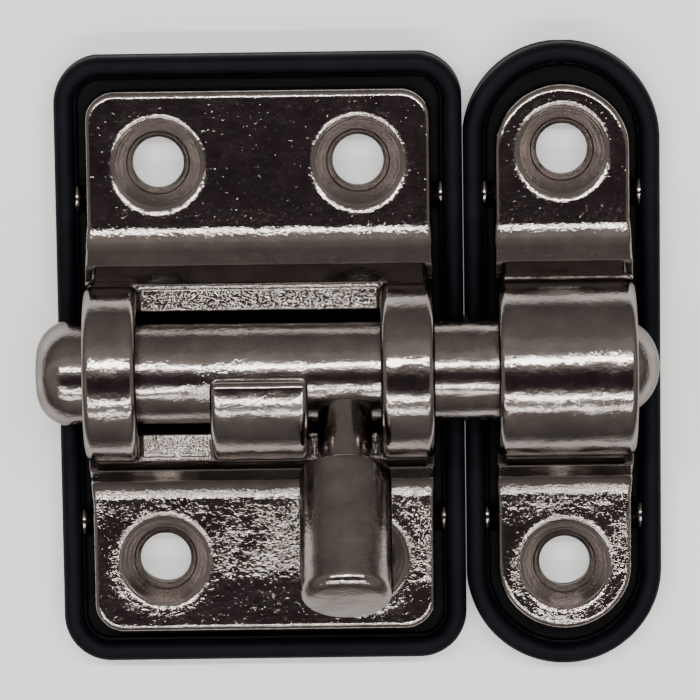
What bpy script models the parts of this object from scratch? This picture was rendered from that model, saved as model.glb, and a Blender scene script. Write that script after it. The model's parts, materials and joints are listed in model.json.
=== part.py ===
"""Toggle bolt latch: a turning bolt in a gasketed housing, thrown into a gasketed keeper.

X runs along the bolt towards the keeper, Y up the mounting plates, Z away from the door.
The origin is the middle of the housing gasket's underside. Sizes below are in millimetres.
"""
import math

import bmesh
import bpy
from mathutils import Matrix, Vector

MM = 0.001

# Gaps
SEAT_GAP = 0.3           # between pieces that rest on each other
RUNNING_GAP = 0.15       # around the bolt, on the radius
WINDOW_GAP = 0.8         # between the bolt and the window's long walls
LEG_PLAY = 1.65          # between the stem and the sides of a leg, both sides together
REST_GAP = 0.25          # between the stem and the leg's floor it rests on
HEAD_GAP = 2.3           # between the barrel and the knob's head
NIB_GAP = 0.3            # around each nib in its gasket notch
UNIT_GAP = 0.3           # between the two gaskets

# Bolt and knob
BOLT_RADIUS = 5.0
BOLT_LEFT_REACH = 4.6    # beyond the housing
BOLT_RIGHT_REACH = 2.3   # beyond the keeper
BOLT_END_ROUND = 3.4     # corner radius of the left end; the right end is a half ball
STEM_RADIUS = 2.55
SPIGOT_RADIUS = 1.8      # thin ends of the stem, inside the bolt and the head
SPIGOT_IN_BOLT = 4.0     # how deep the stem's foot goes below the bolt's surface
SPIGOT_IN_HEAD = 7.5
HEAD_RADIUS = 4.3
HEAD_LENGTH = 13.4
HEAD_END_ROUND = 1.3
HEAD_EDGE = 0.3
KNOB_ANGLE = math.radians(36.0)   # above the plates, on the -Y side

# Castings
PLATE_WIDTH = 32.8
PLATE_HEIGHT = 52.0
PLATE_CORNER = 3.0
PLATE_THICKNESS = 3.0
PLATE_EDGE_ROUND = 0.6
KEEPER_WIDTH = 13.0
KEEPER_HEIGHT = 52.4
AXIS_ABOVE_PLATE = 4.6   # bolt axis above the plates' top face
WINDOW_WALL = 2.6        # wall left on each side of the window
EAR_WIDTH = 5.1
BARREL_EDGE_ROUND = 0.8
STOP_REACH = 0.3         # how far past the bolt's axis the stop block arches over
STOP_EDGE_ROUND = 0.6
SHOULDER_RUN = 3.6       # from the barrel's side out to the flat plate
SHOULDER_LOW = 2.2       # height of the shoulder's wide lower step
SHOULDER_INSET = 0.1     # of that step's ends from the plate's edges
NECK_INSET = 0.6         # how much narrower the shoulder is above that step

# Screw holes
HOLE_RADIUS = 2.4
SINK_RADIUS = 4.35       # countersink at the plate's face, 90 degrees
HOUSING_HOLE_INSET = 6.95   # from the plate's edges to a hole's centre
KEEPER_HOLE_INSET = 6.35

# Gaskets
GASKET_FLOOR = 1.7
GASKET_RIM_TOP = 3.6
GASKET_RIM_WIDTH = 1.8
GASKET_CORNER = 2.7      # inside corner of the housing gasket's rim
HOUSING_CHANNEL = 0.9    # between a plate's long edges and the rim
HOUSING_END_CHANNEL = 1.3   # between its short edges and the rim
KEEPER_CHANNEL = 1.0
KEEPER_END_CHANNEL = 1.9
GASKET_HOLE_RADIUS = 2.75

# Nibs that hold a gasket on its plate
NIB_REACH = 1.2
NIB_LENGTH = 2.5
NIB_HEIGHT = 0.75
NIB_LIFT = 0.1           # above the plate's underside
NIB_PITCH = 31.2

# The shoulder's curve: how its run shrinks and its rise grows along it
SHOULDER_RUN_POWER = 1.6
SHOULDER_RISE_POWER = 1.3
SHOULDER_STEPS = 6

SEGMENTS = 48
CORNER_STEPS = 6

# Worked out from the sizes above
PLATE_BOTTOM = GASKET_FLOOR + SEAT_GAP
PLATE_TOP = PLATE_BOTTOM + PLATE_THICKNESS
AXIS_Z = PLATE_TOP + AXIS_ABOVE_PLATE
BORE_RADIUS = BOLT_RADIUS + RUNNING_GAP
WINDOW_HALF_X = PLATE_WIDTH / 2 - EAR_WIDTH
WINDOW_HALF_Y = BOLT_RADIUS + WINDOW_GAP
BARREL_RADIUS = WINDOW_HALF_Y + WINDOW_WALL
LEG_WIDTH = 2 * STEM_RADIUS + LEG_PLAY
STOP_HALF_WIDTH = WINDOW_HALF_X - LEG_WIDTH
KNOB_X = WINDOW_HALF_X - LEG_WIDTH / 2
HEAD_START = BARREL_RADIUS + HEAD_GAP    # from the bolt's axis, along the knob
# The floors of the legs lie where the stem comes to rest on their inner edge
LEG_FLOOR = AXIS_Z + ((WINDOW_HALF_Y * math.sin(KNOB_ANGLE) - STEM_RADIUS - REST_GAP)
                      / math.cos(KNOB_ANGLE))
KEEPER_X = (PLATE_WIDTH / 2 + HOUSING_CHANNEL + GASKET_RIM_WIDTH + UNIT_GAP
            + GASKET_RIM_WIDTH + KEEPER_CHANNEL + KEEPER_WIDTH / 2)
BOLT_LEFT_X = -PLATE_WIDTH / 2 - BOLT_LEFT_REACH
BOLT_RIGHT_X = KEEPER_X + KEEPER_WIDTH / 2 + BOLT_RIGHT_REACH


def make_material(name, color, roughness, metallic):
    material = bpy.data.materials.new(name)
    material.use_nodes = True
    shader = material.node_tree.nodes["Principled BSDF"]
    shader.inputs["Base Color"].default_value = (*color, 1.0)
    shader.inputs["Roughness"].default_value = roughness
    shader.inputs["Metallic"].default_value = metallic
    return material


def finish_mesh(name, bm, material=None):
    """Make an object of a mesh drawn in millimetres."""
    bmesh.ops.remove_doubles(bm, verts=bm.verts, dist=1e-5)
    bmesh.ops.recalc_face_normals(bm, faces=bm.faces)
    bmesh.ops.scale(bm, vec=(MM, MM, MM), verts=bm.verts)
    mesh = bpy.data.meshes.new(name)
    bm.to_mesh(mesh)
    bm.free()
    mesh.shade_smooth()
    mesh.set_sharp_from_angle(angle=math.radians(35))
    obj = bpy.data.objects.new(name, mesh)
    bpy.context.collection.objects.link(obj)
    if material:
        mesh.materials.append(material)
    return obj


def arc(center, radius, start, end, steps):
    """Points on an arc, angles in degrees."""
    points = []
    for step in range(steps + 1):
        angle = math.radians(start + (end - start) * step / steps)
        points.append((center[0] + radius * math.cos(angle), center[1] + radius * math.sin(angle)))
    return points


def rounded_rectangle(half_x, half_y, radius):
    outline = []
    for sign_x, sign_y, start in ((1, 1, 0), (-1, 1, 90), (-1, -1, 180), (1, -1, 270)):
        corner = (sign_x * (half_x - radius), sign_y * (half_y - radius))
        outline += arc(corner, radius, start, start + 90, CORNER_STEPS)
    return outline


def loft(name, rings, closed=False, material=None):
    """Skin a list of rings, which have as many points each; cap both ends or join them."""
    bm = bmesh.new()
    rows = [[bm.verts.new(point) for point in ring] for ring in rings]
    pairs = list(zip(rows, rows[1:]))
    if closed:
        pairs.append((rows[-1], rows[0]))
    count = len(rows[0])
    for low, high in pairs:
        for i in range(count):
            j = (i + 1) % count
            bm.faces.new((low[i], low[j], high[j], high[i]))
    if not closed:
        bm.faces.new(list(reversed(rows[0])))
        bm.faces.new(rows[-1])
    return finish_mesh(name, bm, material)


def flat_plate(name, center_x, half_x, half_y, radius, bottom, top, edge_round, material=None):
    """A rounded plate whose top edge is a quarter round."""
    levels = [(0.0, bottom)]
    for step in range(5):
        angle = math.radians(90 * step / 4)
        inset = edge_round * (1 - math.cos(angle))
        levels.append((inset, top - edge_round + edge_round * math.sin(angle)))
    rings = []
    for inset, z in levels:
        outline = rounded_rectangle(half_x - inset, half_y - inset, radius - inset)
        rings.append([(center_x + x, y, z) for x, y in outline])
    return loft(name, rings, material=material)


def along_x(name, outline, start, end, edge_round=0.0):
    """Extrude a Y-Z outline along X, its end edges bevelled."""
    obj = loft(name, [[(x, y, z) for y, z in outline] for x in (start, end)])
    if edge_round:
        mesh = obj.data
        bm = bmesh.new()
        bm.from_mesh(mesh)
        ends = [e for e in bm.edges if len(e.link_faces) == 2
                and e.calc_face_angle() > math.radians(60)
                and abs(e.verts[0].co.x - e.verts[1].co.x) < 1e-7]
        bmesh.ops.bevel(bm, geom=ends, offset=edge_round * MM, segments=3, profile=0.5,
                        affect="EDGES", clamp_overlap=True)
        bm.to_mesh(mesh)
        bm.free()
    return obj


def turned(name, profile, material=None, matrix=None):
    """Turn a profile of (radius, height) points round Z; both ends lie on the axis."""
    bm = bmesh.new()
    rows = []
    for radius, height in profile:
        if radius < 1e-6:
            rows.append([bm.verts.new((0, 0, height))])
            continue
        ring = [(radius * math.cos(math.tau * i / SEGMENTS), radius * math.sin(math.tau * i / SEGMENTS))
                for i in range(SEGMENTS)]
        rows.append([bm.verts.new((x, y, height)) for x, y in ring])
    for low, high in zip(rows, rows[1:]):
        for i in range(SEGMENTS):
            j = (i + 1) % SEGMENTS
            corners = [low[i % len(low)], low[j % len(low)], high[j % len(high)], high[i % len(high)]]
            bm.faces.new(list(dict.fromkeys(corners)))
    if matrix:
        bmesh.ops.transform(bm, matrix=matrix, verts=bm.verts)
    return finish_mesh(name, bm, material)


def cylinder(name, radius, start, end, matrix=None):
    return turned(name, [(0, start), (radius, start), (radius, end), (0, end)], matrix=matrix)


def block(name, low, high):
    outline = [(low[1], low[2]), (high[1], low[2]), (high[1], high[2]), (low[1], high[2])]
    return along_x(name, outline, low[0], high[0])


def combine(target, tool, operation):
    """Union or cut with an EXACT Boolean, settled into the mesh at once."""
    modifier = target.modifiers.new(operation, "BOOLEAN")
    modifier.operation = operation
    modifier.solver = "EXACT"
    modifier.object = tool
    graph = bpy.context.evaluated_depsgraph_get()
    mesh = bpy.data.meshes.new_from_object(target.evaluated_get(graph))
    target.modifiers.clear()
    target.data = mesh
    bpy.data.objects.remove(tool)
    mesh.shade_smooth()
    mesh.set_sharp_from_angle(angle=math.radians(35))


# The bolt's axis as a frame whose Z runs along +X, and the knob's, whose Z runs outward
BOLT_FRAME = Matrix.Translation((0, 0, AXIS_Z)) @ Matrix.Rotation(math.radians(90), 4, "Y")
KNOB_FRAME = (Matrix.Translation((KNOB_X, 0, AXIS_Z))
              @ Matrix.Rotation(math.radians(90) - KNOB_ANGLE, 4, "X"))


def barrel_outline(inset):
    """Round top about the bolt's axis, straight sides down into the plate."""
    radius = BARREL_RADIUS - inset
    buried = PLATE_TOP - PLATE_THICKNESS / 2
    outline = arc((0, AXIS_Z), radius, 0, 180, SEGMENTS // 2)
    return outline + [(-radius, buried), (radius, buried)]


def barrel(start, end):
    """The barrel's outline along X, its ends rounded over."""
    rings = []
    for x, inward, steps in ((start, 1, (0, 1, 2, 3)), (end, -1, (3, 2, 1, 0))):
        for step in steps:
            angle = math.radians(90 * step / 3)
            inset = BARREL_EDGE_ROUND * (1 - math.sin(angle))
            along = BARREL_EDGE_ROUND * (1 - math.cos(angle))
            rings.append([(x + inward * along, y, z) for y, z in barrel_outline(inset)])
    return loft("barrel", rings)


def shoulder_outline(top):
    """The rise on both sides of the barrel up to a height, hollow where it meets the plate."""
    buried = PLATE_TOP - PLATE_THICKNESS / 2
    full_rise = LEG_FLOOR - PLATE_TOP
    last = ((top - PLATE_TOP) / full_rise) ** (1 / SHOULDER_RISE_POWER)
    right = [(BARREL_RADIUS + SHOULDER_RUN, buried)]
    for step in range(SHOULDER_STEPS + 1):
        t = last * step / SHOULDER_STEPS
        out = SHOULDER_RUN * (1 - t) ** SHOULDER_RUN_POWER
        right.append((BARREL_RADIUS + out, PLATE_TOP + full_rise * t ** SHOULDER_RISE_POWER))
    return right + [(-y, z) for y, z in reversed(right)]


def add_shoulders(casting, start, end):
    upper = along_x("upper_shoulder", shoulder_outline(LEG_FLOOR), start + NECK_INSET, end - NECK_INSET)
    combine(casting, upper, "UNION")
    lower = along_x("lower_shoulder", shoulder_outline(PLATE_TOP + SHOULDER_LOW),
                    start + SHOULDER_INSET, end - SHOULDER_INSET)
    combine(casting, lower, "UNION")


def drill_screw_holes(casting, points):
    sink_depth = SINK_RADIUS - HOLE_RADIUS
    profile = [(0, PLATE_BOTTOM - 1), (HOLE_RADIUS, PLATE_BOTTOM - 1),
               (HOLE_RADIUS, PLATE_TOP - sink_depth), (SINK_RADIUS + 1, PLATE_TOP + 1), (0, PLATE_TOP + 1)]
    for x, y in points:
        combine(casting, turned("drill", profile, matrix=Matrix.Translation((x, y, 0))), "DIFFERENCE")


def nib_places(center_x, half_width):
    for side in (-1, 1):
        for end in (-1, 1):
            yield center_x + side * half_width, side, end * NIB_PITCH / 2


def add_nibs(casting, center_x, half_width):
    for edge, side, y in nib_places(center_x, half_width):
        xs = sorted((edge - side, edge + side * NIB_REACH))
        low = (xs[0], y - NIB_LENGTH / 2, PLATE_BOTTOM + NIB_LIFT)
        high = (xs[1], y + NIB_LENGTH / 2, PLATE_BOTTOM + NIB_LIFT + NIB_HEIGHT)
        combine(casting, block("nib", low, high), "UNION")


def housing_holes():
    out_x = PLATE_WIDTH / 2 - HOUSING_HOLE_INSET
    out_y = PLATE_HEIGHT / 2 - HOUSING_HOLE_INSET
    return [(x * out_x, y * out_y) for x in (-1, 1) for y in (-1, 1)]


def keeper_holes():
    return [(KEEPER_X, y * (KEEPER_HEIGHT / 2 - KEEPER_HOLE_INSET)) for y in (-1, 1)]


def build_housing(material):
    half = PLATE_WIDTH / 2
    casting = flat_plate("housing", 0, half, PLATE_HEIGHT / 2, PLATE_CORNER,
                         PLATE_BOTTOM, PLATE_TOP, PLATE_EDGE_ROUND, material)
    add_shoulders(casting, -half, half)
    for start, end in ((-half, -WINDOW_HALF_X), (WINDOW_HALF_X, half)):
        combine(casting, barrel(start, end), "UNION")
    window = block("window", (-WINDOW_HALF_X, -WINDOW_HALF_Y, PLATE_BOTTOM - 1),
                   (WINDOW_HALF_X, WINDOW_HALF_Y, LEG_FLOOR + 1))
    combine(casting, window, "DIFFERENCE")
    combine(casting, stop_block(), "UNION")
    combine(casting, cylinder("bore", BORE_RADIUS, -half - 1, half + 1, BOLT_FRAME), "DIFFERENCE")
    drill_screw_holes(casting, housing_holes())
    add_nibs(casting, 0, half)
    return casting


def stop_block():
    """A quarter ring over the lower side of the window, on the barrel's own radii."""
    inner = arc((0, AXIS_Z), WINDOW_HALF_Y, 90, 180, SEGMENTS // 4)
    outer = arc((0, AXIS_Z), BARREL_RADIUS, 180, 90, SEGMENTS // 4)
    base = [(-WINDOW_HALF_Y, PLATE_TOP), (-BARREL_RADIUS, PLATE_TOP)]
    over = [(STOP_REACH, AXIS_Z + BARREL_RADIUS), (STOP_REACH, AXIS_Z + WINDOW_HALF_Y)]
    return along_x("stop", inner + base + outer + over, -STOP_HALF_WIDTH, STOP_HALF_WIDTH,
                   STOP_EDGE_ROUND)


def build_keeper(material):
    half = KEEPER_WIDTH / 2
    casting = flat_plate("keeper", KEEPER_X, half, KEEPER_HEIGHT / 2, half,
                         PLATE_BOTTOM, PLATE_TOP, PLATE_EDGE_ROUND, material)
    start, end = KEEPER_X - half, KEEPER_X + half
    add_shoulders(casting, start, end)
    combine(casting, barrel(start, end), "UNION")
    combine(casting, cylinder("bore", BORE_RADIUS, start - 1, end + 1, BOLT_FRAME), "DIFFERENCE")
    drill_screw_holes(casting, keeper_holes())
    add_nibs(casting, KEEPER_X, half)
    return casting


def build_gasket(name, center_x, half_x, half_y, corner, channels, holes, material):
    """A tray with a raised, rounded rim that stands a channel's width off the plate."""
    inner_x = half_x + channels[0]
    inner_y = half_y + channels[1]
    rim = GASKET_RIM_WIDTH
    section = [(rim, 0.0)]
    section += arc((rim / 2, GASKET_RIM_TOP - rim / 2), rim / 2, 0, 180, CORNER_STEPS)
    section += [(0.0, GASKET_FLOOR)]
    rings = []
    for out, z in section:
        outline = rounded_rectangle(inner_x + out, inner_y + out, corner + out)
        rings.append([(center_x + x, y, z) for x, y in outline])
    gasket = loft(name, rings, material=material)
    for x, y in holes:
        drill = cylinder("drill", GASKET_HOLE_RADIUS, -1, GASKET_RIM_TOP, Matrix.Translation((x, y, 0)))
        combine(gasket, drill, "DIFFERENCE")
    for edge, side, y in nib_places(center_x, half_x):
        xs = sorted((edge, edge + side * (NIB_REACH + NIB_GAP)))
        reach = NIB_LENGTH / 2 + NIB_GAP
        notch = block("notch", (xs[0], y - reach, GASKET_FLOOR + NIB_LIFT),
                      (xs[1], y + reach, PLATE_BOTTOM + NIB_LIFT + NIB_HEIGHT + NIB_GAP))
        combine(gasket, notch, "DIFFERENCE")
    return gasket


def build_bolt(material):
    profile = [(0, BOLT_LEFT_X)]
    corner = (BOLT_RADIUS - BOLT_END_ROUND, BOLT_LEFT_X + BOLT_END_ROUND)
    profile += arc(corner, BOLT_END_ROUND, -90, 0, CORNER_STEPS)
    profile += arc((0, BOLT_RIGHT_X - BOLT_RADIUS), BOLT_RADIUS, 0, 80, CORNER_STEPS)
    profile += [(0, BOLT_RIGHT_X)]
    bolt = turned("bolt_rod", profile, material, BOLT_FRAME)
    hole = cylinder("cross_hole", SPIGOT_RADIUS + SEAT_GAP, BOLT_RADIUS - SPIGOT_IN_BOLT - SEAT_GAP,
                    BOLT_RADIUS + 1, KNOB_FRAME)
    combine(bolt, hole, "DIFFERENCE")
    return bolt


def build_stem(material):
    shoulder = HEAD_START - SEAT_GAP
    foot = BOLT_RADIUS - SPIGOT_IN_BOLT
    top = HEAD_START + SPIGOT_IN_HEAD
    body = [(0, foot), (STEM_RADIUS, foot), (STEM_RADIUS, shoulder), (SPIGOT_RADIUS, shoulder),
            (SPIGOT_RADIUS, top), (0, top)]
    stem = turned("knob_stem", body, material, KNOB_FRAME)
    saddle = cylinder("saddle", BOLT_RADIUS + SEAT_GAP, KNOB_X - 2 * STEM_RADIUS, KNOB_X + 2 * STEM_RADIUS,
                      BOLT_FRAME)
    combine(stem, saddle, "DIFFERENCE")
    spigot = cylinder("spigot", SPIGOT_RADIUS, foot, BOLT_RADIUS + 1, KNOB_FRAME)
    combine(stem, spigot, "UNION")
    return stem


def build_head(material):
    end = HEAD_START + HEAD_LENGTH
    bore = SPIGOT_RADIUS + SEAT_GAP
    depth = HEAD_START + SPIGOT_IN_HEAD + SEAT_GAP
    profile = [(0, depth), (bore, depth), (bore, HEAD_START), (HEAD_RADIUS - HEAD_EDGE, HEAD_START),
               (HEAD_RADIUS, HEAD_START + HEAD_EDGE)]
    corner = (HEAD_RADIUS - HEAD_END_ROUND, end - HEAD_END_ROUND)
    profile += arc(corner, HEAD_END_ROUND, 0, 80, CORNER_STEPS)
    profile += [(0, end)]
    return turned("knob_head", profile, material, KNOB_FRAME)


def attach(piece, parent):
    piece.parent = parent
    piece.matrix_parent_inverse = parent.matrix_basis.inverted()


def build_latch():
    for obj in list(bpy.data.objects):
        bpy.data.objects.remove(obj)
    nickel = make_material("dark_nickel", (0.20, 0.18, 0.165), 0.22, 1.0)
    rubber = make_material("black_rubber", (0.012, 0.013, 0.018), 0.6, 0.0)

    build_housing(nickel)
    build_gasket("housing_gasket", 0, PLATE_WIDTH / 2, PLATE_HEIGHT / 2, GASKET_CORNER,
                 (HOUSING_CHANNEL, HOUSING_END_CHANNEL), housing_holes(), rubber)

    bolt_axis = bpy.data.objects.new("bolt_axis", None)
    bolt_axis.location = Vector((0, 0, AXIS_Z)) * MM
    bpy.context.collection.objects.link(bolt_axis)
    for piece in (build_bolt(nickel), build_stem(nickel), build_head(nickel)):
        attach(piece, bolt_axis)

    keeper_place = bpy.data.objects.new("keeper_place", None)
    keeper_place.location = Vector((KEEPER_X, 0, 0)) * MM
    bpy.context.collection.objects.link(keeper_place)
    attach(build_keeper(nickel), keeper_place)
    gasket = build_gasket("keeper_gasket", KEEPER_X, KEEPER_WIDTH / 2, KEEPER_HEIGHT / 2,
                          KEEPER_WIDTH / 2 + KEEPER_CHANNEL, (KEEPER_CHANNEL, KEEPER_END_CHANNEL),
                          keeper_holes(), rubber)
    attach(gasket, keeper_place)


build_latch()
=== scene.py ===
"""Toggle bolt latch: finished surfaces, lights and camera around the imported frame.

The castings, gaskets and turned pieces are remade as smooth meshes. Sizes are in millimetres
until a mesh is finished, because that is how such a latch is drawn.
"""
import json
import math

import bpy
import numpy as np
from mathutils import Matrix, Vector


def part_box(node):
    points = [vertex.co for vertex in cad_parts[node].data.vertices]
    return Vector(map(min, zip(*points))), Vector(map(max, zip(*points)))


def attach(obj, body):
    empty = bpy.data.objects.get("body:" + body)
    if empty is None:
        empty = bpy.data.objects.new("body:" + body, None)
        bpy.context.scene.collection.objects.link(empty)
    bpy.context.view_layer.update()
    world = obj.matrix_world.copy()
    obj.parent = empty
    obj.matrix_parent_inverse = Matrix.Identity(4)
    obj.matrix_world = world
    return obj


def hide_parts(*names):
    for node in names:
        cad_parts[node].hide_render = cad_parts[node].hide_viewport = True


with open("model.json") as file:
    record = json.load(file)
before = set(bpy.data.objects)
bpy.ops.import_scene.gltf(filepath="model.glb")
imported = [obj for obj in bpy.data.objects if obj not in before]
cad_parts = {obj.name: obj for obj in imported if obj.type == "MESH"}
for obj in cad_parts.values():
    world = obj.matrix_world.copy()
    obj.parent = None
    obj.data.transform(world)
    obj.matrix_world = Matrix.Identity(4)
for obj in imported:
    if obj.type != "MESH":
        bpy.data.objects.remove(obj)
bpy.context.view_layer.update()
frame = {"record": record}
MM = 0.001


# ---------------------------------------------------------------- sizes read from the frame

def node_box(node):
    """A node's box in millimetres."""
    low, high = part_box(node)
    return np.array(low) / MM, np.array(high) / MM


def joint_named(name):
    """A joint's entry in the part's record."""
    for joint in frame["record"]["behaviour"]["joints"]:
        if joint["name"] == name:
            return joint


housing_low, housing_high = node_box("housing")
keeper_low, keeper_high = node_box("keeper")
bolt_low, bolt_high = node_box("bolt_rod")
tray_low, tray_high = node_box("housing_gasket")
keeper_tray_low, keeper_tray_high = node_box("keeper_gasket")

NIB_REACH = 1.2
NIB_LENGTH = 2.5
NIB_HEIGHT = 0.75
NIB_TAB_HEIGHT = 0.35    # of the thin tab between plate and nib
NIB_SLACK = 0.08
NIB_PITCH = 31.2
NIB_LIFT = 0.1           # from the plate's underside to the nibs'

PLATE_BOTTOM = housing_low[2]
PLATE_TOP = PLATE_BOTTOM + 3.0
PLATE_UNDER_EDGE = 0.2
HALF_WIDTH = housing_high[0] - NIB_REACH
HALF_HEIGHT = housing_high[1]
PLATE_CORNER = 3.0
PLATE_EDGE = 0.75
AXIS_Z = joint_named("knob_turn")["pos_m"][2] / MM
BARREL = housing_high[2] - AXIS_Z
BARREL_EDGE = 0.85
EAR_WIDTH = 5.1
STOP_HALF = 4.55
STOP_REACH = 0.3
WINDOW_HALF_X = HALF_WIDTH - EAR_WIDTH
WINDOW_HALF_Y = BARREL - 2.6
BOLT_RADIUS = (bolt_high[1] - bolt_low[1]) / 2
BORE = BOLT_RADIUS + 0.15
LEG_FLOOR = AXIS_Z + 0.75
NECK_INSET = 0.65
SHOULDER_STEP = PLATE_TOP + 2.4
SHOULDER_FOOT = 3.45     # from the barrel's side to where the lower slope meets the plate
LOWER_SLOPE = math.radians(48.0)
UPPER_SLOPE = math.radians(66.0)
FOOT_FILLET = 1.0
LIP = 0.2
BURIED = 0.5             # how far barrels and shoulders stop above the plate's underside
EAR_FILLET = 0.5
SIDE_EDGE = 0.1
POCKET_SLACK = 0.1

KEEPER_X = (keeper_low[0] + keeper_high[0]) / 2
KEEPER_HALF_WIDTH = keeper_high[0] - NIB_REACH - KEEPER_X
KEEPER_HALF_HEIGHT = keeper_high[1]

HOLE = 2.4
SINK = 4.35
SINK_EDGE = 0.4
SINK_CAP = 1.0            # how far the countersink cuts above the plate
HOUSING_HOLES = [(sx * 9.45, sy * 19.05) for sx in (-1, 1) for sy in (-1, 1)]
KEEPER_HOLES = [(KEEPER_X, sy * 19.85) for sy in (-1, 1)]

TRAY_FLOOR = 1.7
RIM_WIDTH = 1.8
RIM_TOP = tray_high[2]
TRAY_HOLE = 2.75
TRAY_CORNER = 2.7        # inside the rim
SNUG = 0.2               # added to each side of the housing gasket, to close up to the keeper's
GROOVE_HEIGHT = 1.15
GROOVE_RADIUS = 0.16

KNOB_X = (STOP_HALF + WINDOW_HALF_X) / 2
KNOB_ANGLE = math.radians(36.0)
STEM = 2.55
HEAD = 4.3
HEAD_START = 10.7
HEAD_END = 24.1
HEAD_DOME = 0.2          # height of the grip's faintly domed end
STEM_FOOT = 4.0          # from the bolt's axis
BOLT_END_ROUND = 3.4

HOUSING_GRID, HOUSING_SHARE = 0.2, 0.45     # mesh spacing, and the share of faces kept
KEEPER_GRID, KEEPER_SHARE = 0.17, 0.5
TRAY_GRID, KEEPER_TRAY_GRID, TRAY_SHARE = 0.2, 0.18, 0.4

KNOB_FRAME = (Matrix.Translation((KNOB_X, 0, AXIS_Z))
              @ Matrix.Rotation(math.radians(90) - KNOB_ANGLE, 4, "X"))
BOLT_FRAME = Matrix.Translation((0, 0, AXIS_Z)) @ Matrix.Rotation(math.radians(90), 4, "Y")


# ---------------------------------------------------------------- solids as distance fields

def round_join(a, b, radius):
    """Union of two distances with a hollow fillet of this radius."""
    u = np.maximum(radius - a, 0)
    v = np.maximum(radius - b, 0)
    return np.maximum(radius, np.minimum(a, b)) - np.hypot(u, v)


def round_cut(a, b, radius):
    """What two distances share, its edge rounded to this radius."""
    return -round_join(-a, -b, radius)


def rectangle(x, y, half_x, half_y, corner=0.0):
    dx = np.abs(x) - (half_x - corner)
    dy = np.abs(y) - (half_y - corner)
    outside = np.hypot(np.maximum(dx, 0), np.maximum(dy, 0))
    return outside + np.minimum(np.maximum(dx, dy), 0) - corner


def slab(value, low, high):
    return np.abs(value - (low + high) / 2) - (high - low) / 2


def prism(outline, across, edge):
    """An outline's distance extruded through a slab's, its end edges rounded."""
    return round_cut(outline, across, edge)


def screw_hole(x, y, z, place, depth_top):
    radius = np.hypot(x - place[0], y - place[1])
    cone = (radius - SINK - (z - depth_top)) * math.sqrt(0.5)
    cone = np.maximum(cone, z - depth_top - SINK_CAP)
    return np.minimum(np.maximum(radius - HOLE, z - depth_top - SINK_CAP), cone)


def cast_plate(x, y, z, half_x, half_y, corner):
    outline = rectangle(x, y, half_x, half_y, corner)
    below = round_cut(outline, PLATE_BOTTOM - z, PLATE_UNDER_EDGE)
    return round_cut(below, z - PLATE_TOP, PLATE_EDGE)


def barrel_profile(y, z):
    """Round about the bolt's axis on top, straight sides below it."""
    ring = np.hypot(y, z - AXIS_Z) - BARREL
    sides = np.maximum(np.abs(y) - BARREL, z - AXIS_Z)
    return np.maximum(np.minimum(ring, sides), PLATE_BOTTOM + BURIED - z)


def slope_face(y, z, out, height, angle):
    """Distance from a straight slope that falls away from the barrel on both sides."""
    return (np.abs(y) - out) * math.sin(angle) + (z - height) * math.cos(angle)


def with_shoulder(plate, x, y, z, half_x, top):
    """The rise between a plate and its barrel: a wide lower slope, a narrower steep one above."""
    foot_y = BARREL + SHOULDER_FOOT
    step_y = foot_y - (SHOULDER_STEP - PLATE_TOP) / math.tan(LOWER_SLOPE)
    lower = slope_face(y, z, foot_y, PLATE_TOP, LOWER_SLOPE)
    upper = slope_face(y, z, step_y, SHOULDER_STEP, UPPER_SLOPE)
    buried = PLATE_BOTTOM + BURIED - z
    wide = round_cut(np.maximum(lower, buried), z - SHOULDER_STEP, 0.25)
    wide = round_join(plate, wide, FOOT_FILLET)
    wide = round_cut(wide, np.abs(x) - half_x, 0.35)
    rise = round_cut(np.maximum(upper, buried), z - top, 0.3)
    rise = prism(rise, np.abs(x) - (half_x - NECK_INSET), 0.4)
    return np.minimum(wide, rise)


def housing_field(x, y, z):
    plate = cast_plate(x, y, z, HALF_WIDTH, HALF_HEIGHT, PLATE_CORNER)
    solid = with_shoulder(plate, x, y, z, HALF_WIDTH, LEG_FLOOR + LIP)
    pocket = rectangle(x, y, WINDOW_HALF_X - POCKET_SLACK, BARREL - 0.4, 0.4)
    solid = round_cut(solid, -prism(pocket, LEG_FLOOR - z, 0.2), 0.15)
    middle = (WINDOW_HALF_X + HALF_WIDTH) / 2
    ear = prism(barrel_profile(y, z), np.abs(np.abs(x) - middle) - EAR_WIDTH / 2, BARREL_EDGE)
    solid = round_join(solid, ear, EAR_FILLET)
    solid = round_cut(solid, np.abs(x) - HALF_WIDTH, SIDE_EDGE)
    window = prism(np.abs(y) - WINDOW_HALF_Y, np.abs(x) - WINDOW_HALF_X, 0.3)
    window = np.maximum(window, z - LEG_FLOOR - LIP)
    solid = round_cut(solid, -window, 0.2)
    ring = slab(np.hypot(y, z - AXIS_Z), WINDOW_HALF_Y, BARREL)
    arch = round_cut(np.maximum(ring, AXIS_Z - 0.4 - z), y - STOP_REACH, 0.7)
    post = np.maximum(slab(y, -BARREL, -WINDOW_HALF_Y), slab(z, PLATE_TOP, AXIS_Z))
    stop = prism(np.minimum(arch, post), np.abs(x) - STOP_HALF, 0.75)
    solid = round_join(solid, stop, 0.35)
    bore = np.hypot(y, z - AXIS_Z) - BORE
    bore = np.maximum(bore, WINDOW_HALF_X - 0.5 - np.abs(x))
    solid = round_cut(solid, -bore, 0.35)
    for place in HOUSING_HOLES:
        solid = round_cut(solid, -screw_hole(x, y, z, place, PLATE_TOP), SINK_EDGE)
    return solid


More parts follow.
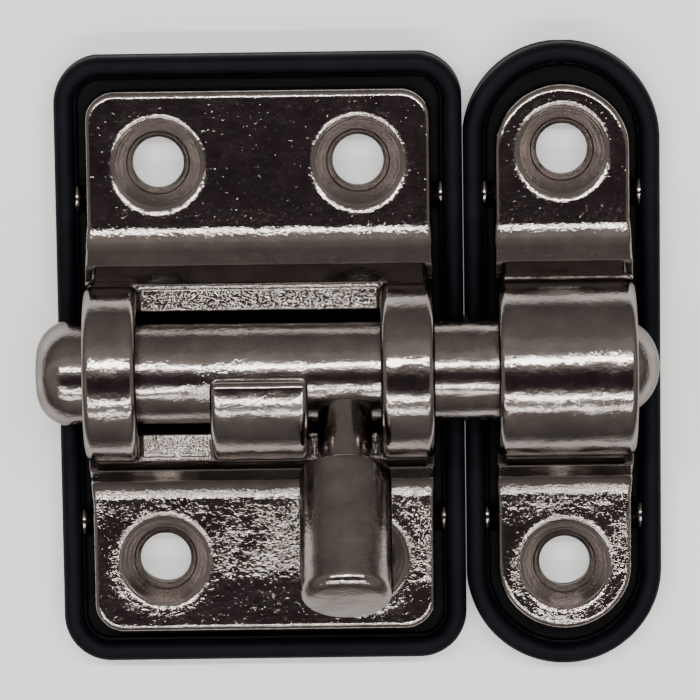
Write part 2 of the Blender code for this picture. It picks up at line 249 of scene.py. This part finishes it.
def keeper_field(x, y, z):
    x = x - KEEPER_X
    plate = cast_plate(x, y, z, KEEPER_HALF_WIDTH, KEEPER_HALF_HEIGHT, KEEPER_HALF_WIDTH - 0.01)
    solid = with_shoulder(plate, x, y, z, KEEPER_HALF_WIDTH, AXIS_Z + 0.4)
    barrel = prism(barrel_profile(y, z), np.abs(x) - KEEPER_HALF_WIDTH, BARREL_EDGE)
    solid = round_join(solid, barrel, EAR_FILLET)
    solid = round_cut(solid, np.abs(x) - KEEPER_HALF_WIDTH, SIDE_EDGE)
    bore = np.hypot(y, z - AXIS_Z) - BORE
    solid = round_cut(solid, -bore, 0.4)
    for px, py in KEEPER_HOLES:
        solid = round_cut(solid, -screw_hole(x, y, z, (px - KEEPER_X, py), PLATE_TOP), SINK_EDGE)
    return solid


def tray_field(center_x, low, high, corner, holes, nib_half_x):
    """A rubber tray: a floor and a rounded rim, notched for the casting's nibs."""
    half_x, half_y = (high[0] - low[0]) / 2, (high[1] - low[1]) / 2

    def field(x, y, z):
        x = x - center_x
        outer = rectangle(x, y, half_x, half_y, corner + RIM_WIDTH)
        floor = round_cut(round_cut(outer, -z, 0.15), z - TRAY_FLOOR, 0.1)
        rim = np.maximum(outer, -outer - RIM_WIDTH)
        rim = round_cut(np.maximum(rim, -z), z - RIM_TOP, RIM_WIDTH / 2 - 0.02)
        lip = np.maximum(np.abs(outer + RIM_WIDTH) - 0.3, z - TRAY_FLOOR - 0.55)
        lip = np.maximum(lip, -z)
        solid = round_join(round_join(floor, rim, 0.2), lip, 0.25)
        groove = np.hypot(outer, z - GROOVE_HEIGHT) - GROOVE_RADIUS
        solid = round_cut(solid, -groove, 0.08)
        solid = round_cut(solid, -z, 0.15)
        for px, py in holes:
            drilled = TRAY_HOLE - np.hypot(x + center_x - px, y - py)
            solid = round_cut(solid, drilled, 0.15)
        notch = rectangle(np.abs(x) - nib_half_x, np.abs(y) - NIB_PITCH / 2,
                          NIB_REACH + NIB_SLACK, NIB_LENGTH / 2 + NIB_SLACK, 0.15)
        notch = np.maximum(notch, slab(z, TRAY_FLOOR + 0.1, PLATE_BOTTOM + NIB_HEIGHT + NIB_SLACK))
        return round_cut(solid, -notch, 0.05)

    return field


# ---------------------------------------------------------------- meshes

def skin(field, low, high, step):
    """Surface net of a field's zero, each point then slid onto the exact surface."""
    pad = 2 * step
    axes = [np.arange(low[i] - pad, high[i] + pad + step, step) for i in range(3)]
    gx, gy, gz = np.meshgrid(*axes, indexing="ij", sparse=True)
    values = field(gx, gy, gz) + 0 * (gx + gy + gz)
    inside = values < 0
    shape = np.array(inside.shape) - 1
    total = np.zeros(shape, dtype=np.int8)
    corners = [(i, j, k) for i in (0, 1) for j in (0, 1) for k in (0, 1)]
    for i, j, k in corners:
        total += inside[i:i + shape[0], j:j + shape[1], k:k + shape[2]]
    cells = np.argwhere((total > 0) & (total < 8))
    index = -np.ones(shape, dtype=np.int64)
    index[tuple(cells.T)] = np.arange(len(cells))
    points = np.zeros((len(cells), 3))
    weight = np.zeros(len(cells))
    for a in corners:
        for axis in range(3):
            if a[axis]:
                continue
            b = list(a)
            b[axis] = 1
            va = values[tuple((cells + a).T)]
            vb = values[tuple((cells + b).T)]
            crossing = (va < 0) != (vb < 0)
            t = np.where(crossing, va / np.where(crossing, va - vb, 1), 0)
            place = cells + np.array(a)
            place = place + t[:, None] * np.eye(3)[axis]
            points += np.where(crossing[:, None], place, 0)
            weight += crossing
    points = points / weight[:, None]
    points = np.array([axes[i][0] for i in range(3)]) + points * step
    faces = []
    for axis in range(3):
        near = [slice(1, -1)] * 3
        far = [slice(1, -1)] * 3
        near[axis] = slice(0, -1)
        far[axis] = slice(1, None)
        first, second = inside[tuple(near)], inside[tuple(far)]
        offset = np.ones(3, dtype=int)
        offset[axis] = 0
        u, v = [np.eye(3, dtype=int)[i] for i in range(3) if i != axis]
        for hit, turned in ((first & ~second, axis == 1), (~first & second, axis != 1)):
            base = np.argwhere(hit) + offset
            ring = [base - u - v, base - v, base, base - u]
            if turned:
                ring.reverse()
            faces.append(np.stack([index[tuple(r.T)] for r in ring], axis=1))
    faces = np.concatenate(faces)
    for _ in range(4):
        distance, normal = slope(field, points)
        move = np.clip(distance, -step * 0.5, step * 0.5)
        points = points - move[:, None] * normal
    return points, faces


def slope(field, points, reach=0.02):
    """Distance and outward normal of a field at points."""
    x, y, z = points.T
    distance = field(x, y, z)
    grad = np.stack([field(x + reach, y, z) - field(x - reach, y, z),
                     field(x, y + reach, z) - field(x, y - reach, z),
                     field(x, y, z + reach) - field(x, y, z - reach)], axis=1)
    length = np.linalg.norm(grad, axis=1, keepdims=True)
    return distance / np.maximum(length[:, 0] / (2 * reach), 0.5), grad / np.maximum(length, 1e-9)


def mesh_object(name, points, faces, material):
    """An object at the origin from points in millimetres."""
    if isinstance(faces, np.ndarray):
        faces = faces.tolist()
    mesh = bpy.data.meshes.new(name)
    mesh.from_pydata((np.asarray(points) * MM).tolist(), [], faces)
    mesh.validate()
    mesh.shade_smooth()
    mesh.materials.append(material)
    piece = bpy.data.objects.new(name, mesh)
    bpy.context.collection.objects.link(piece)
    return piece


def thin_flats(piece, share):
    """Fewer faces where the surface is flat, so that curves keep theirs."""
    modifier = piece.modifiers.new("thin", "DECIMATE")
    modifier.ratio = share
    settle(piece)


def shade_exactly(piece, field, low, high):
    """Slide the points back onto the field's surface, and shade by its slope."""
    mesh = piece.data
    flat = np.empty(len(mesh.vertices) * 3)
    mesh.vertices.foreach_get("co", flat)
    points = flat.reshape(-1, 3) / MM
    for _ in range(2):
        distance, normal = slope(field, points)
        points = points - np.clip(distance, -0.05, 0.05)[:, None] * normal
    points = np.clip(points, low, high)
    normal = slope(field, points)[1]
    mesh.vertices.foreach_set("co", (points * MM).ravel())
    mesh.update()
    mesh.normals_split_custom_set_from_vertices(normal.tolist())


def settle(piece):
    """Turn the piece's modifiers into its mesh."""
    graph = bpy.context.evaluated_depsgraph_get()
    mesh = bpy.data.meshes.new_from_object(piece.evaluated_get(graph))
    piece.modifiers.clear()
    piece.data = mesh
    mesh.shade_smooth()


def arc(center, radius, start, end, steps):
    """Points on a round stretch of a profile, between two angles in degrees."""
    points = []
    for step in range(steps + 1):
        angle = math.radians(start + (end - start) * step / steps)
        points.append((center[0] + radius * math.cos(angle), center[1] + radius * math.sin(angle)))
    return points


def turned_piece(name, profile, place, material, segments=144):
    """A lathe-turned piece from (radius, height) points that start and end on its axis."""
    points, rows = [], []
    for radius, height in profile:
        count = 1 if radius < 1e-6 else segments
        rows.append(list(range(len(points), len(points) + count)))
        for i in range(count):
            angle = math.tau * i / segments
            point = place @ Vector((radius * math.cos(angle), radius * math.sin(angle), height))
            points.append(tuple(point))
    faces = []
    for low, high in zip(rows, rows[1:]):
        for i in range(segments):
            j = (i + 1) % segments
            ring = [low[i % len(low)], low[j % len(low)],
                    high[j % len(high)], high[i % len(high)]]
            faces.append(list(dict.fromkeys(ring)))
    return mesh_object(name, points, faces, material)


# ---------------------------------------------------------------- shader writing

class Wire:
    """A shader socket that can be used in sums and products."""

    def __init__(self, graph, socket):
        self.graph = graph
        self.socket = socket

    def math(self, operation, *others):
        return self.graph.node("ShaderNodeMath", {"operation": operation},
                               dict(enumerate((self, *others))))

    def __add__(self, other): return self.math("ADD", other)
    def __radd__(self, other): return self.math("ADD", other)
    def __sub__(self, other): return self.math("SUBTRACT", other)
    def __rsub__(self, other): return self.graph.number(other).math("SUBTRACT", self)
    def __mul__(self, other): return self.math("MULTIPLY", other)
    def __rmul__(self, other): return self.math("MULTIPLY", other)
    def __abs__(self): return self.math("ABSOLUTE")
    def power(self, other): return self.math("POWER", other)
    def least(self, other): return self.math("MINIMUM", other)
    def most(self, other): return self.math("MAXIMUM", other)

    def step(self, low, high):
        """0 below low, 1 above high, smooth between."""
        settings = {"interpolation_type": "SMOOTHSTEP"}
        limits = {"Value": self, "From Min": low, "From Max": high}
        return self.graph.node("ShaderNodeMapRange", settings, limits)


class Graph:
    """A node tree, written as expressions."""

    def __init__(self, tree, space):
        self.tree = tree
        self.place = self.node("ShaderNodeTexCoord", {}, {}, space)

    def node(self, kind, settings, inputs, output=0):
        node = self.tree.nodes.new(kind)
        for key, value in settings.items():
            setattr(node, key, value)
        for key, value in inputs.items():
            if isinstance(value, Wire):
                self.tree.links.new(value.socket, node.inputs[key])
            else:
                node.inputs[key].default_value = value
        return Wire(self, node.outputs[output])

    def number(self, value):
        return self.node("ShaderNodeMath", {"operation": "ADD"}, {0: value, 1: 0.0})

    def split(self):
        """The three parts of the place or direction being shaded."""
        return [self.node("ShaderNodeSeparateXYZ", {}, {0: self.place}, axis) for axis in "XYZ"]

    def axes(self):
        """The place in millimetres, one wire for each axis."""
        return [part * (1 / MM) for part in self.split()]

    def noise(self, per_mm, detail=3.0, roughness=0.55, distortion=0.0, stretch=None):
        place = self.place
        if stretch:
            place = self.node("ShaderNodeVectorMath", {"operation": "MULTIPLY"},
                              {0: place, 1: stretch})
        return self.node("ShaderNodeTexNoise", {}, {
            "Vector": place, "Scale": per_mm / MM, "Detail": detail, "Roughness": roughness,
            "Distortion": distortion}, "Fac")

    def specks(self, per_mm):
        """How far a place is from the nearest of some scattered points."""
        return self.node("ShaderNodeTexVoronoi", {"feature": "F1"},
                         {"Vector": self.place, "Scale": per_mm / MM}, "Distance")

    def blend(self, factor, first, second):
        """One colour into another."""
        node = self.tree.nodes.new("ShaderNodeMix")
        node.data_type = "RGBA"
        for key, value in ((0, factor), (6, first), (7, second)):
            if isinstance(value, Wire):
                self.tree.links.new(value.socket, node.inputs[key])
            elif key == 0:
                node.inputs[key].default_value = value
            else:
                node.inputs[key].default_value = (*value, 1.0)
        return Wire(self, node.outputs[2])


class Finish(Graph):
    """A material with one principled shader."""

    def __init__(self, name):
        self.material = bpy.data.materials.new(name)
        self.material.use_nodes = True
        super().__init__(self.material.node_tree, "Object")
        self.shader = self.tree.nodes["Principled BSDF"]

    def feed(self, socket, value):
        if isinstance(value, Wire):
            self.tree.links.new(value.socket, self.shader.inputs[socket])
        else:
            self.shader.inputs[socket].default_value = value

    def bump(self, height_mm):
        normal = self.node("ShaderNodeBump", {}, {
            "Height": height_mm * MM, "Distance": 1.0, "Strength": 1.0}, "Normal")
        self.feed("Normal", normal)


# ---------------------------------------------------------------- materials


NICKEL_DARK = (0.255, 0.228, 0.215)
NICKEL_LIGHT = (0.365, 0.335, 0.312)
GRAZING_TINT = (0.45, 0.45, 0.45, 1.0)    # dulls the nickel's shine at a glancing angle
# painted shade: near-black colour for the corners where the neck meets the barrel
NOTCH_PAINTED_SHADE = (0.012, 0.010, 0.010)
RUBBER_DARK = (0.0016, 0.0019, 0.0042)
RUBBER_LIGHT = (0.0030, 0.0036, 0.0070)
# painted shade for the tray's channel
RUBBER_PAINTED_SHADE = (0.0005, 0.0006, 0.0012)
RUBBER_DUST = (0.020, 0.021, 0.026)


def hole_distance(graph, x, y, holes):
    """How far a place is from the nearest screw hole's centre."""
    nearest = None
    for px, py in holes:
        away = ((x - px).power(2.0) + (y - py).power(2.0)).power(0.5)
        nearest = away if nearest is None else nearest.least(away)
    return nearest


def cast_nickel(name, holes, center_x, half_width):
    """Dark nickel plate over a die casting: bright, with a fine grain that breaks up its shine, and
    near-black painted shade in the corners of the neck.
    """
    g = Finish(name)
    x, y, z = g.axes()
    from_hole = hole_distance(g, x, y, holes)
    sunk = 1 - from_hole.step(SINK - 0.15, SINK + 0.05)
    rim = (1 - abs(from_hole - SINK - 0.35).step(0.15, 0.7)) * (1 - sunk)
    flat = (1 - z.step(PLATE_TOP + 0.1, PLATE_TOP + 0.6)) * (1 - sunk)
    lower = 1 - y.step(-14.0, -12.0)
    near_foot = 1 - abs(y).step(13.6, 16.6)
    near_edge = (x - center_x).step(half_width - 4.0, half_width - 0.8) * y.step(-23.0, -20.0)
    near_hole = 1 - from_hole.step(SINK + 0.3, SINK + 1.8)
    middle = (1 - abs(x).step(3.5, 7.0)) * y.step(-21.5, -19.0)
    cloud = g.noise(0.16, 3.0, 0.6).step(0.40, 0.62)
    busy = near_foot.most(near_edge).most(near_hole * 0.7).most(middle)
    lively = lower * busy * (0.35 + 0.65 * cloud)
    quiet = (1 - lower) * (0.42 * near_foot + 0.14 * cloud) + 0.16 * lower
    leg_floor = (z.step(LEG_FLOOR - 0.25, LEG_FLOOR - 0.1)
                 * (1 - z.step(LEG_FLOOR + 0.1, LEG_FLOOR + 0.3)))
    in_window = 1 - abs(x).step(WINDOW_HALF_X - 0.2, WINDOW_HALF_X)
    ledge = leg_floor * in_window * (1.4 + 0.6 * (1 - y.step(-0.5, 0.5)))
    from_axis = (y * y + (z - AXIS_Z) * (z - AXIS_Z)).math("SQRT")
    neck = half_width - NECK_INSET
    # painted shade: near-black, rougher colour in the corners where the neck's sides meet the barrel
    # above the shoulder step
    notch = (abs(x - center_x).step(neck - 0.25, neck - 0.05)
             * from_axis.step(BARREL + 0.1, BARREL + 0.3)
             * z.step(SHOULDER_STEP - 0.2, SHOULDER_STEP))
    texture = flat * (lively + quiet + 0.25 * rim) + ledge
    swell = g.noise(0.22, 2.0)
    skin_waves = g.noise(1.4, 3.0, 0.6)
    blots = g.noise(1.5, 2.0, 0.5, stretch=(0.7, 1.0, 1.0))
    grain = g.noise(3.1, 2.0, 0.55)
    fine = g.noise(7.0, 2.0, 0.6)
    dents = g.noise(2.6, 2.0, 0.5, 0.8).step(0.60, 0.80)
    rings = (from_hole * 14.0 + g.noise(0.8, 2.0) * 3.0).math("SINE")
    height = (0.12 * swell + 0.022 * skin_waves
              + blots * flat * (0.10 * lively + 0.01)
              + grain * (0.010 + 0.060 * texture)
              + fine * (0.0035 + 0.007 * texture)
              - dents * flat * (0.008 + 0.02 * lively)
              + (0.004 * rings - 0.03 * (1 - from_hole.step(2.85, 3.05))) * sunk)
    tone = g.noise(0.35, 4.0).step(0.3, 0.75)
    plated = g.blend(tone * (0.8 - 0.8 * sunk), NICKEL_DARK, NICKEL_LIGHT)
    g.feed("Base Color", g.blend(notch, plated, NOTCH_PAINTED_SHADE))
    g.feed("Metallic", 1.0)
    g.feed("Specular Tint", GRAZING_TINT)
    g.feed("Roughness", 0.085 + 0.07 * g.noise(1.3, 3.0) + 0.13 * sunk + 0.4 * notch)
    g.bump(height)
    return g.material


def turned_nickel(name):
    """The same plate over turned bar: smoother, with faint marks and a few nicks."""
    g = Finish(name)
    swell = g.noise(0.25, 2.0, stretch=(0.35, 1.0, 1.0))
    waves = g.noise(1.5, 3.0, 0.6, stretch=(0.6, 1.0, 1.0))
    grain = g.noise(3.3, 2.0, 0.55)
    fine = g.noise(7.5, 2.0, 0.6)
    nicks = 1 - g.specks(0.55).step(0.04, 0.12)
    patchy = g.noise(0.3, 1.0).step(0.45, 0.62)
    height = (0.12 * swell + 0.020 * waves + grain * (0.012 + 0.022 * patchy)
              + 0.0045 * fine - 0.010 * nicks * patchy)
    tone = g.noise(0.4, 4.0).step(0.3, 0.75)
    g.feed("Base Color", g.blend(tone * 0.8, NICKEL_DARK, NICKEL_LIGHT))
    g.feed("Metallic", 1.0)
    g.feed("Specular Tint", GRAZING_TINT)
    g.feed("Roughness", 0.10 + 0.07 * g.noise(1.6, 3.0))
    g.bump(height)
    return g.material


def moulded_rubber(name):
    """Black rubber with a blue cast, a satin skin and a little dust, with painted shade low in the
    tray.
    """
    g = Finish(name)
    grain = g.noise(6.0, 3.0, 0.6)
    waves = g.noise(0.5, 2.0)
    dust = g.noise(2.5, 5.0, 0.7).step(0.66, 0.82)
    tone = g.noise(0.25, 3.0).step(0.35, 0.7)
    color = g.blend(tone, RUBBER_DARK, RUBBER_LIGHT)
    z = g.axes()[2]
    # painted shade: near-black colour on the tray's floor and lower rim, up to just under the rim's
    # top
    color = g.blend(z.step(TRAY_FLOOR + 0.1, RIM_TOP - 0.4), RUBBER_PAINTED_SHADE, color)
    g.feed("Base Color", g.blend(dust * 0.2, color, RUBBER_DUST))
    g.feed("Roughness", 0.50 + 0.16 * grain + 0.10 * dust)
    g.feed("Specular IOR Level", 0.09)
    g.bump(0.004 * grain + 0.03 * waves)
    return g.material


# ---------------------------------------------------------------- the pieces

def cast_piece(name, node, body, field, material, step, share, snug=0.0):
    """A piece meshed from its field, in place of a CAD node; snug widens the node's box in x."""
    low, high = node_box(node)
    low[0] -= snug
    high[0] += snug
    points, faces = skin(field, low, high, step)
    points = np.clip(points, low, high)
    piece = mesh_object(name, points, faces, material)
    thin_flats(piece, share)
    shade_exactly(piece, field, low, high)
    return hand_over(piece, node, body)


def hand_over(piece, node, body):
    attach(piece, body)
    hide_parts(node)
    return piece


def build_castings():
    nickel = cast_nickel("cast_nickel_housing", HOUSING_HOLES, 0.0, HALF_WIDTH)
    housing = cast_piece("cast_housing", "housing", "housing", housing_field, nickel,
                         HOUSING_GRID, HOUSING_SHARE)
    nickel = cast_nickel("cast_nickel_keeper", KEEPER_HOLES, KEEPER_X, KEEPER_HALF_WIDTH)
    keeper = cast_piece("cast_keeper", "keeper", "keeper", keeper_field, nickel,
                        KEEPER_GRID, KEEPER_SHARE)


def build_gaskets():
    rubber = moulded_rubber("black_rubber")
    wider = np.array([SNUG, 0, 0])
    tray = tray_field(0, tray_low - wider, tray_high + wider, TRAY_CORNER, HOUSING_HOLES, HALF_WIDTH)
    piece = cast_piece("moulded_housing_gasket", "housing_gasket", "housing", tray, rubber,
                       TRAY_GRID, TRAY_SHARE, SNUG)
    round_corner = KEEPER_HALF_WIDTH + 1.0 - 0.01
    tray = tray_field(KEEPER_X, keeper_tray_low, keeper_tray_high, round_corner,
                      KEEPER_HOLES, KEEPER_HALF_WIDTH)
    piece = cast_piece("moulded_keeper_gasket", "keeper_gasket", "keeper", tray, rubber,
                       KEEPER_TRAY_GRID, TRAY_SHARE)


def bolt_profile():
    """The round bar, blunt at its left end and domed at its right."""
    left, right = bolt_low[0], bolt_high[0]
    left_straight, right_straight = left + BOLT_END_ROUND, right - BOLT_RADIUS
    profile = [(0, left)]
    profile += arc((BOLT_RADIUS - BOLT_END_ROUND, left_straight), BOLT_END_ROUND, -90, 0, 20)
    profile += [(BOLT_RADIUS, h) for h in np.linspace(left_straight, right_straight, 60)[1:-1]]
    profile += arc((0, right_straight), BOLT_RADIUS, 0, 88, 24)
    return profile + [(0, right)]


def stem_profile():
    """The knob's pin, from inside the bolt to just inside the grip."""
    tip = HEAD_START + 0.15
    straight = [(STEM, h) for h in np.linspace(STEM_FOOT + 0.4, HEAD_START, 12)]
    return [(0, STEM_FOOT), (STEM, STEM_FOOT)] + straight + [(STEM - 0.5, tip), (0, tip)]


def grip_profile():
    """The knob's grip: a crisp lower edge, a rounded upper one and a faintly domed end."""
    edge, round_end = 0.35, 1.15
    shoulder = HEAD_END - HEAD_DOME - round_end
    grip = [(0, HEAD_START)] + arc((HEAD - edge, HEAD_START + edge), edge, -90, 0, 6)
    grip += [(HEAD, h) for h in np.linspace(HEAD_START + edge, shoulder, 20)[1:]]
    grip += arc((HEAD - round_end, shoulder), round_end, 4, 80, 12)
    flat_radius, flat_height = grip[-1]
    for t in np.linspace(0.15, 0.95, 8):
        grip.append((flat_radius * (1 - t), HEAD_END - (HEAD_END - flat_height) * (1 - t) ** 2))
    return grip + [(0, HEAD_END)]


def build_bolt():
    nickel = turned_nickel("turned_nickel")
    rod = turned_piece("round_bolt", bolt_profile(), BOLT_FRAME, nickel)
    pin = turned_piece("knob_pin", stem_profile(), KNOB_FRAME, nickel, 96)
    head = turned_piece("knob_grip", grip_profile(), KNOB_FRAME, nickel, 128)
    for piece, node in ((rod, "bolt_rod"), (pin, "knob_stem"), (head, "knob_head")):
        hand_over(piece, node, "bolt")


def nib_tree():
    """Rounded nibs on both long edges of a plate, near its ends."""
    tree = bpy.data.node_groups.new("edge_nibs", "GeometryNodeTree")
    face = tree.interface
    face.new_socket("Geometry", in_out="OUTPUT", socket_type="NodeSocketGeometry")
    for name in ("Center X", "Half Width", "Reach", "Length",
                 "Tip Radius", "Tab Height", "Base", "Pitch"):
        face.new_socket(name, in_out="INPUT", socket_type="NodeSocketFloat")
    face.new_socket("Material", in_out="INPUT", socket_type="NodeSocketMaterial")
    nodes, links = tree.nodes, tree.links
    given = nodes.new("NodeGroupInput").outputs
    result = nodes.new("NodeGroupOutput").inputs[0]

    def add(kind, *inputs, **settings):
        node = nodes.new(kind)
        for key, value in settings.items():
            setattr(node, key, value)
        for index, value in enumerate(inputs):
            if isinstance(value, bpy.types.NodeSocket):
                links.new(value, node.inputs[index])
            elif value is not None:
                node.inputs[index].default_value = value
        return node.outputs[0]

    def calc(operation, a, b=0.0):
        return add("ShaderNodeMath", a, b, operation=operation)

    def along_edges(beyond, height, shape):
        """A shape on both long edges at both ends, this far beyond the edge and above the base."""
        span = calc("MULTIPLY", calc("ADD", given["Half Width"], beyond), 2.0)
        grid = add("GeometryNodeMeshGrid", span, given["Pitch"], 2, 2)
        lift = calc("ADD", given["Base"], height)
        offset = add("ShaderNodeCombineXYZ", given["Center X"], 0.0, lift)
        grid = add("GeometryNodeSetPosition", grid, None, None, offset)
        copies = add("GeometryNodeInstanceOnPoints", grid, None, shape)
        return add("GeometryNodeRealizeInstances", copies)

    round_tip = add("GeometryNodeMeshCylinder", 24, 1, 1, given["Tip Radius"], given["Length"])
    lying = add("GeometryNodeTransform", round_tip)
    lying.node.inputs["Rotation"].default_value = (math.radians(90), 0, 0)
    beyond = calc("SUBTRACT", given["Reach"], given["Tip Radius"])
    tip = along_edges(beyond, given["Tip Radius"], lying)
    size = add("ShaderNodeCombineXYZ", given["Reach"], given["Length"], given["Tab Height"])
    flat = add("GeometryNodeMeshCube", size, 2, 2, 2)
    tab = along_edges(0.0, calc("MULTIPLY", given["Tab Height"], 0.5), flat)
    joined = nodes.new("GeometryNodeMeshBoolean")
    joined.operation = "UNION"
    joined.solver = "EXACT"
    links.new(tip, joined.inputs[1])
    links.new(tab, joined.inputs[1])
    solid = add("GeometryNodeRealizeInstances", joined.outputs[0])
    solid = add("GeometryNodeSetShadeSmooth", solid)
    links.new(add("GeometryNodeSetMaterial", solid, None, given["Material"]), result)
    return tree


def build_nibs():
    tree = nib_tree()
    for name, center, half, body in (("housing_nibs", 0.0, HALF_WIDTH, "housing"),
                                     ("keeper_nibs", KEEPER_X, KEEPER_HALF_WIDTH, "keeper")):
        piece = bpy.data.objects.new(name, bpy.data.meshes.new(name))
        bpy.context.collection.objects.link(piece)
        modifier = piece.modifiers.new("nibs", "NODES")
        modifier.node_group = tree
        sizes = {"Center X": center, "Half Width": half, "Reach": NIB_REACH, "Length": NIB_LENGTH,
                 "Tip Radius": NIB_HEIGHT / 2, "Tab Height": NIB_TAB_HEIGHT,
                 "Base": PLATE_BOTTOM + NIB_LIFT, "Pitch": NIB_PITCH}
        for item in tree.interface.items_tree:
            if item.in_out == "INPUT" and item.name in sizes:
                modifier[item.identifier] = float(sizes[item.name]) * MM
            elif item.in_out == "INPUT":
                modifier[item.identifier] = turned_nickel(name + "_nickel")
        settle(piece)
        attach(piece, body)


# ---------------------------------------------------------------- room, lights, camera

LATCH_MIDDLE = 8.5       # in x, between the two plates' far edges
PAINTED_POOL_RADIUS = 47.0       # of the floor's painted pool of light, glowing and whiter, before it fades
PAINTED_POOL_FADE = 60.0         # how far the fade reaches
FLOOR_REACH, FLOOR_DROP = 2000.0, 0.2

STRIP_DISTANCE, STRIP_LENGTH = 0.42, 0.60      # metres
STRIP_AIM = Vector((0.009, 0, 0.01))
# name, degrees from straight above towards +Y, width in metres, power in watts
STRIPS = (("upper_strip", 18.0, 0.032, 2.0),
          ("lower_strip", -30.5, 0.017, 0.95),
          ("third_strip", -46, 0.014, 0.40))

CAMERA_LEAN, CAMERA_SIDE, CAMERA_ROLL = (math.radians(angle) for angle in (8.9, 0.25, -0.78))
CAMERA_TARGET = Vector((8.43, 0.36, 0.0)) * MM
CAMERA_DISTANCE = 471.3 * MM
VIEW_WIDTH = 67.05 * MM  # what the camera sees across, level with its target


def build_floor():
    """A white sheet with a painted pool of light round the latch: it glows and is whiter there, and
    is painted dim far from it.
    """
    mesh = bpy.data.meshes.new("studio_floor")
    reach, drop = FLOOR_REACH * MM, FLOOR_DROP * MM
    corners = [(-reach, -reach), (reach, -reach), (reach, reach), (-reach, reach)]
    mesh.from_pydata([(x, y, -drop) for x, y in corners], [], [(0, 1, 2, 3)])
    floor = bpy.data.objects.new("studio_floor", mesh)
    bpy.context.collection.objects.link(floor)
    g = Finish("studio_floor")
    x, y = g.axes()[:2]
    away = ((x - LATCH_MIDDLE) * (x - LATCH_MIDDLE) + y * y).math("SQRT")
    # painted light: the floor glows and is whiter inside the pool, and fades to a dim grey beyond it
    painted_dimming = away.step(PAINTED_POOL_RADIUS, PAINTED_POOL_RADIUS + PAINTED_POOL_FADE)
    g.feed("Base Color", g.blend(painted_dimming, (0.85, 0.85, 0.85), (0.20, 0.195, 0.19)))
    g.feed("Emission Color", g.blend(painted_dimming, (1.0, 1.0, 1.0), (0.0, 0.0, 0.0)))
    g.feed("Emission Strength", 0.35)
    g.feed("Roughness", 0.9)
    g.feed("Specular IOR Level", 0.0)
    mesh.materials.append(g.material)


def strip_light(name, tilt, width, power):
    """A long softbox over the latch, tilted from straight above towards +Y."""
    light = bpy.data.lights.new(name, "AREA")
    light.shape = "RECTANGLE"
    light.size, light.size_y = STRIP_LENGTH, width
    light.energy = power
    light.color = (1.0, 0.985, 0.96)
    lamp = bpy.data.objects.new(name, light)
    tilt = math.radians(tilt)
    way = Vector((0, math.sin(tilt), math.cos(tilt)))
    lamp.location = STRIP_AIM + way * STRIP_DISTANCE
    lamp.rotation_euler = way.to_track_quat("Z", "Y").to_euler()
    bpy.context.collection.objects.link(lamp)


def build_light():
    """A dark room over the latch, greyer towards its walls, with long strips of light."""
    world = bpy.data.worlds.new("studio")
    bpy.context.scene.world = world
    world.use_nodes = True
    tree = world.node_tree
    g = Graph(tree, "Generated")
    x, y, z = g.split()
    lean = y.math("ARCTAN2", z) * (180.0 / math.pi)
    side = abs(x.math("ARCTAN2", z) * (180.0 / math.pi))
    dark = (1 - abs(lean + 8.0).step(10.0, 17.0)) * (1 - side.step(28.0, 50.0))
    glow = 1 - abs(lean - 37.0).step(4.0, 11.0)
    color = g.blend(lean.step(40.0, 95.0), (0.36, 0.325, 0.30), (0.20, 0.18, 0.17))
    color = g.blend((lean * -1.0).step(35.0, 100.0), color, (0.15, 0.135, 0.13))
    color = g.blend(glow, color, (0.52, 0.48, 0.45))
    color = g.blend(dark, color, (0.046, 0.027, 0.038))
    tree.links.new(color.socket, tree.nodes["Background"].inputs[0])
    for strip in STRIPS:
        strip_light(*strip)


def build_camera():
    """Almost straight down on the plates, leaning a little towards +Y."""
    level = math.cos(CAMERA_LEAN)
    away = Vector((math.sin(CAMERA_SIDE) * level, math.sin(CAMERA_LEAN),
                   math.cos(CAMERA_SIDE) * level))
    camera = bpy.data.cameras.new("camera")
    camera.sensor_width = 36.0
    camera.lens = camera.sensor_width * CAMERA_DISTANCE / VIEW_WIDTH
    camera.clip_start = 0.01
    holder = bpy.data.objects.new("camera", camera)
    right = Vector((0, 1, 0)).cross(away).normalized()
    up = away.cross(right)
    turned_right = right * math.cos(CAMERA_ROLL) + up * math.sin(CAMERA_ROLL)
    turned_up = up * math.cos(CAMERA_ROLL) - right * math.sin(CAMERA_ROLL)
    place = Matrix((turned_right, turned_up, away)).transposed().to_4x4()
    place.translation = CAMERA_TARGET + away * CAMERA_DISTANCE
    holder.matrix_world = place
    bpy.context.collection.objects.link(holder)
    bpy.context.scene.camera = holder


build_castings()
build_gaskets()
build_bolt()
build_nibs()
build_floor()
build_light()
build_camera()
